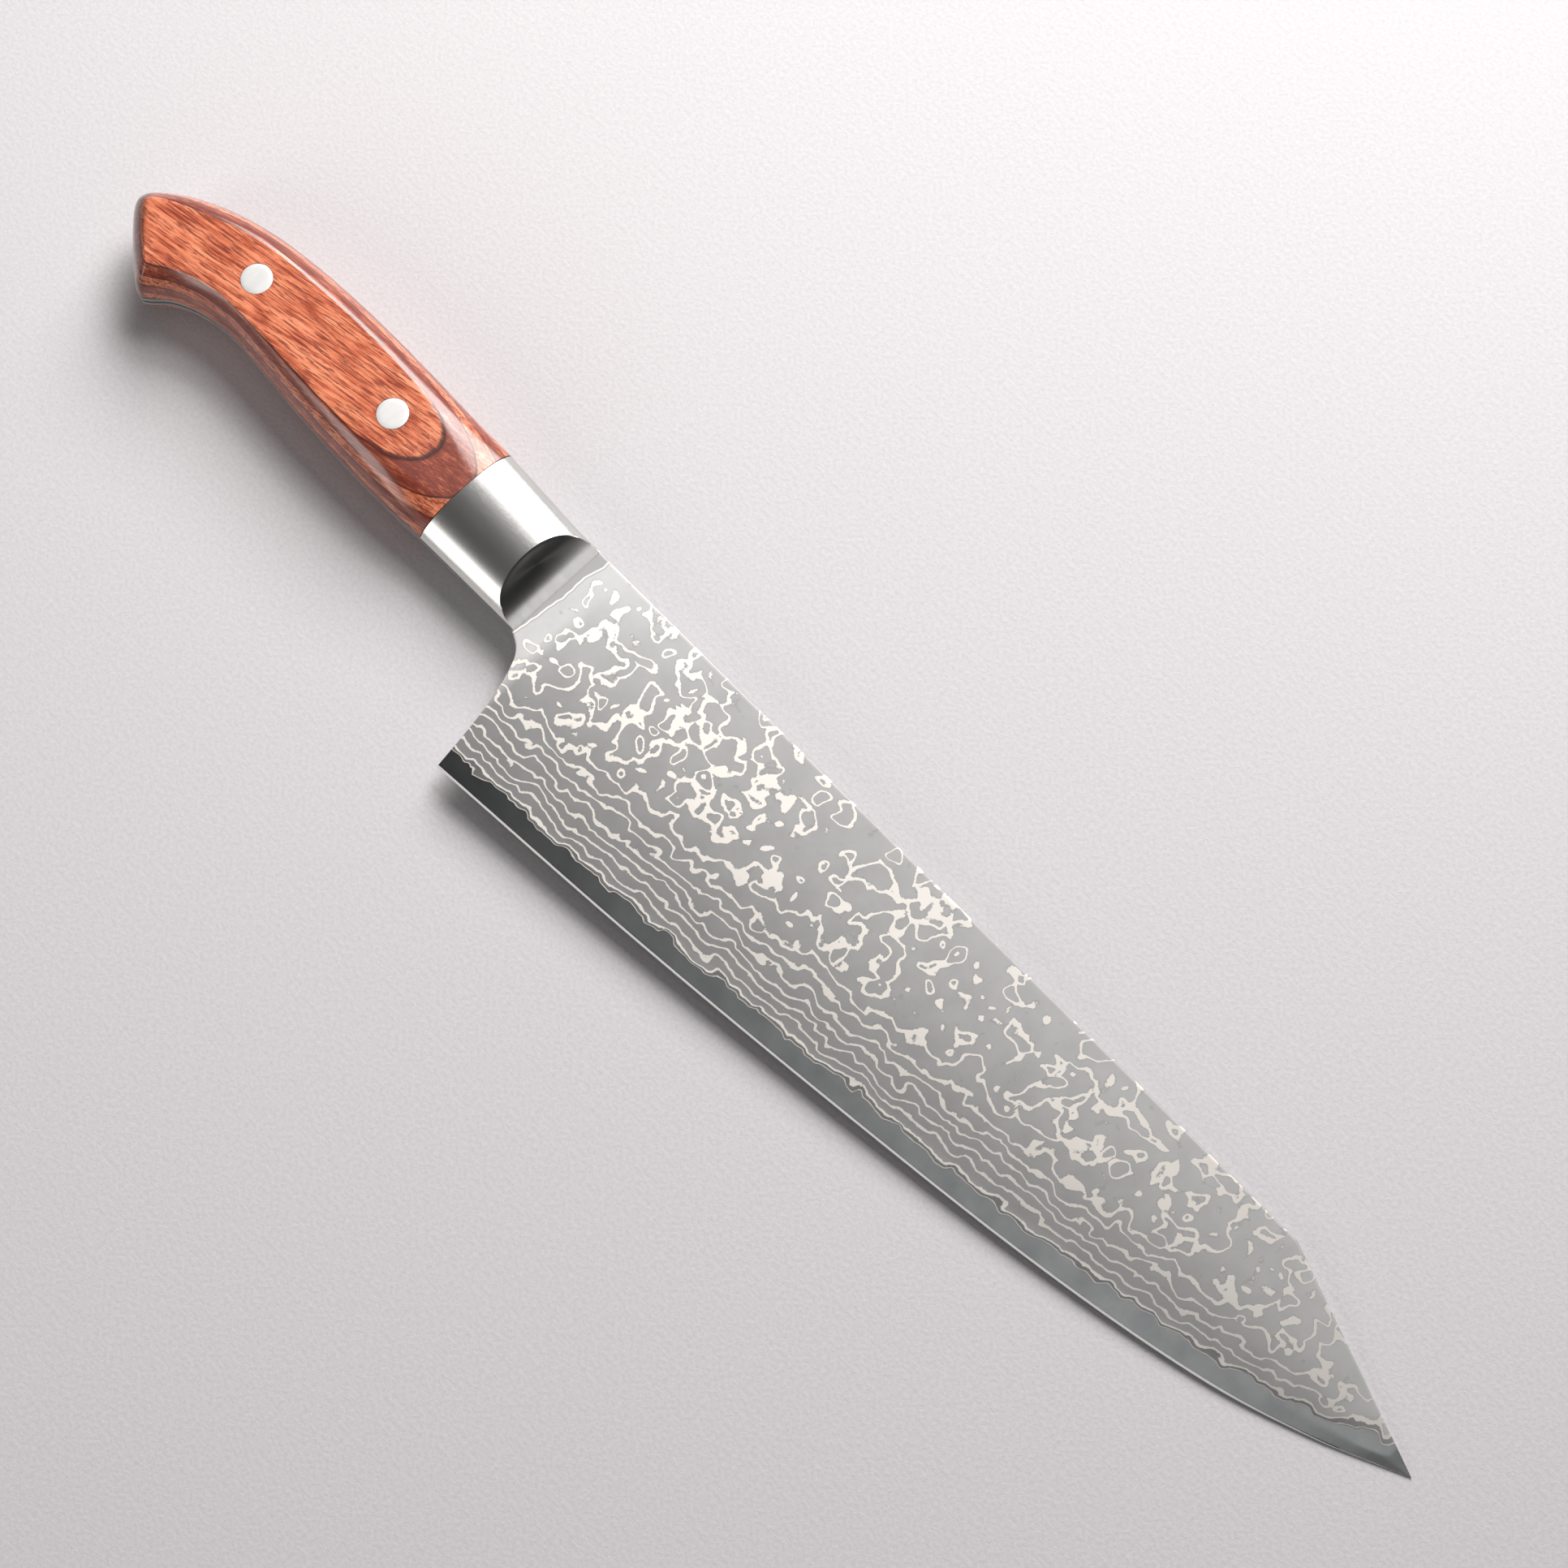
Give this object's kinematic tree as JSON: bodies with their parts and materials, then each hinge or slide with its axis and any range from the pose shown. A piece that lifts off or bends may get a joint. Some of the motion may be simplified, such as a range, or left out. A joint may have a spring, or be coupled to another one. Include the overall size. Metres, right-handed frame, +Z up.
{
  "type": "chef knife",
  "caption": "Chef knife with a laminated, pattern-etched blade, straight spine and angled tip, full tang, steel bolster and riveted wooden handle scales.",
  "frame": {"origin": "on the surface the knife lies on, under the middle of its bounding box", "axes": "+X from the butt to the tip, +Y from the edge to the spine, +Z up out of the right side of the blade; the knife lies on its left side, tipped forward and rolled a little onto its left grip and tip as it rests on a level surface"},
  "size_m": [0.376, 0.057, 0.0195],
  "materials": {
    "hard_steel": "fine satin, darkened by the etch",
    "layered_steel": "etched matt grey with bright, slightly raised layer lines",
    "satin_steel": "satin, brushed along the grip",
    "laminated_wood": "resin-filled red-brown veneers, polished",
    "rivet_steel": "polished flush with the wood"
  },
  "bodies": {
    "root": {"core_steel": "hard_steel", "cladding_right": "layered_steel", "cladding_left": "layered_steel", "bolster_right": "satin_steel", "bolster_left": "satin_steel", "scale_right": "laminated_wood", "scale_left": "laminated_wood", "rear_rivet_barrel": "rivet_steel", "rear_rivet_pin": "rivet_steel", "front_rivet_barrel": "rivet_steel", "front_rivet_pin": "rivet_steel"}
  },
  "joints": []
}
